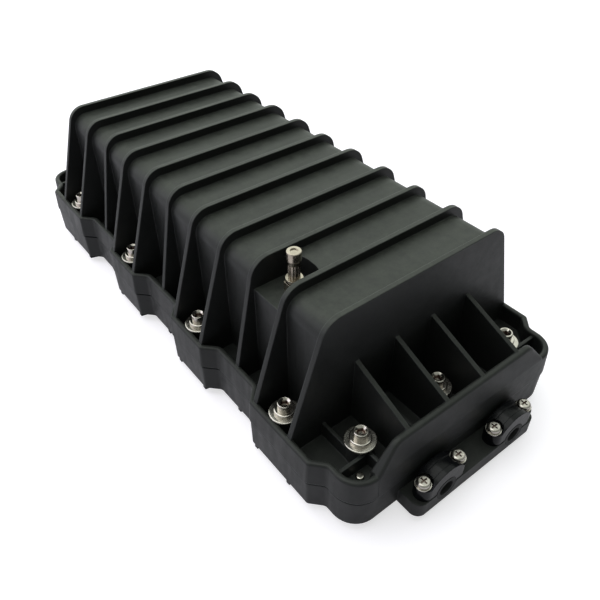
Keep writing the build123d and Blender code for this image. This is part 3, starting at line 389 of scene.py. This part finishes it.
# Each material and the pieces that have it
FINISHES = [
    (moulded_polypropylene(), ["base_shell", "cover_shell"]),
    (polished_nylon(), ["clamp_saddles"]),
    # Silicone is a mid grey, paler than the plastic that it seals
    (moulded_rubber("seal_silicone", "#4b4d4f", "#5c5f61"),
     ["seal_gasket", "port_seals", "valve_seal", "valve_cap_seal"]),
    # Nitrile is nearly as dark as the plastic, but dull
    (moulded_rubber("grommet_nitrile", "#18181a", "#212123"), ["cable_grommets"]),
    # Brass as turned, yellow and a little dulled
    (small_metal("turned_brass", "#b08a45", "#d0aa62", 0.22, 0.4),
     ["threaded_inserts", "tray_pillars", "valve_core_pin"]),
    # Stainless steel, turned bright, with red-brown sealant and painted shade deep in the sockets
    (small_metal("turned_stainless", "#b9b3ab", "#cfc9c2", 0.14, 0.22, "#3f170f"),
     ["cover_bolts", "bolt_collars", "lobe_screws", "hinge_pins"]),
    # Stamped washers are a little duller than the bolts
    (small_metal("stamped_stainless", "#b4afa8", "#c8c3bc", 0.2, 0.3),
     ["bolt_washers", "saddle_washers"]),
    # Nickel is warm and grey, with grime and painted shade in the cross recesses
    (small_metal("nickel_plate", "#a9a39c", "#c3bdb6", 0.18, 0.28, "#8a7b73"),
     ["saddle_screws", "bracket_screws", "strength_screws"]),
    # Plated brass is the warmest of the pale metals
    (small_metal("plated_valve_brass", "#a59c8f", "#bdb4a6", 0.2, 0.32),
     ["valve_body", "valve_nut", "valve_cap"]),
    # Zinc on sheet is bluish and the dullest of the metals
    (small_metal("zinc_plated_sheet", "#9fa4a9", "#bcc1c5", 0.28, 0.45),
     ["tray_bracket", "strength_clamps"]),
    # ABS trays are off-white with faint yellowing
    (textured_moulding("tray_abs", "#cfcdc4", "#dbd9d1"),
     ["tray_lower", "tray_middle", "tray_upper"]),
    # The combs are a soft blue elastomer
    (textured_moulding("comb_elastomer", "#1f4f93", "#2b61a9"),
     ["comb_lower", "comb_middle", "comb_upper"]),
    (clear_polycarbonate(), ["tray_lid"]),
]
for material, names in FINISHES:
    for name in names:
        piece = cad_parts[name]
        piece.data.materials.clear()
        piece.data.materials.append(material)


def photo_camera():
    """Camera at the photograph's place, turn and field of view, for a square frame."""
    azimuth, elevation, roll = (math.radians(v) for v in (AZIMUTH, ELEVATION, ROLL))
    back = Vector((
        math.sin(azimuth) * math.cos(elevation),
        -math.cos(azimuth) * math.cos(elevation),
        math.sin(elevation),
    ))
    right = Vector((math.cos(azimuth), math.sin(azimuth), 0.0))
    up = back.cross(right)
    tilted_right = math.cos(roll) * right + math.sin(roll) * up
    tilted_up = -math.sin(roll) * right + math.cos(roll) * up
    turn = Matrix((tilted_right, tilted_up, back)).transposed().to_4x4()
    data = bpy.data.cameras.new("camera")
    data.sensor_width = SENSOR_WIDTH_MM
    data.lens = SENSOR_WIDTH_MM * FOCAL_PIXELS / FRAME_PIXELS
    data.clip_start = NEAREST_SEEN
    camera = bpy.data.objects.new("camera", data)
    camera.matrix_world = Matrix.Translation(Vector(CAMERA_PLACE)) @ turn
    bpy.context.collection.objects.link(camera)
    bpy.context.scene.camera = camera


def paper_sweep():
    """White floor that the part stands on."""
    mesh = bpy.data.meshes.new("floor")
    shape = bmesh.new()
    bmesh.ops.create_grid(shape, x_segments=2, y_segments=2, size=FLOOR_REACH)
    shape.to_mesh(mesh)
    shape.free()
    mesh.materials.append(white_paper())
    floor = bpy.data.objects.new("floor", mesh)
    floor.location = (0.0, 0.0, -FLOOR_DROP)
    bpy.context.collection.objects.link(floor)


def softbox(name, where, size, watts, tint):
    """One large rectangular lamp that faces the part."""
    data = bpy.data.lights.new(name, "AREA")
    data.shape = "RECTANGLE"
    data.size, data.size_y = size
    data.energy = watts
    data.color = srgb(tint)[:3]
    lamp = bpy.data.objects.new(name, data)
    lamp.location = where
    lamp.rotation_mode = "QUATERNION"
    lamp.rotation_quaternion = (Vector(SOFTBOX_AIM) - Vector(where)).to_track_quat("-Z", "Y")
    bpy.context.collection.objects.link(lamp)


def surround():
    """Room that is brightest on the window side, seen directly as plain white."""
    world = bpy.data.worlds.new("surround")
    world.use_nodes = True
    tree = world.node_tree
    tree.nodes.clear()
    seen = background_rays(tree)
    direction = node(tree, "ShaderNodeTexCoord").outputs["Generated"]
    towards_window = node(tree, "ShaderNodeVectorMath", {
        0: direction, 1: WINDOW_SIDE,
    }, operation="DOT_PRODUCT").outputs["Value"]
    room = node(tree, "ShaderNodeMapRange", {
        "Value": towards_window, "From Min": RISE_START, "From Max": RISE_END,
        "To Min": ROOM_DARK, "To Max": ROOM_BRIGHT,
    }).outputs["Result"]
    strength = node(tree, "ShaderNodeMix", {"Factor": seen, 2: room, 3: 1.0}).outputs[0]
    tint = node(tree, "ShaderNodeMix", {
        "Factor": seen, 6: "#f4fff2", 7: "#ffffff",
    }, data_type="RGBA").outputs[2]
    background = node(tree, "ShaderNodeBackground", {"Color": tint, "Strength": strength})
    node(tree, "ShaderNodeOutputWorld", {"Surface": background.outputs["Background"]})
    bpy.context.scene.world = world


photo_camera()
paper_sweep()
for one_softbox in SOFTBOXES:
    softbox(*one_softbox)
surround()
bpy.context.scene.view_settings.view_transform = "Standard"
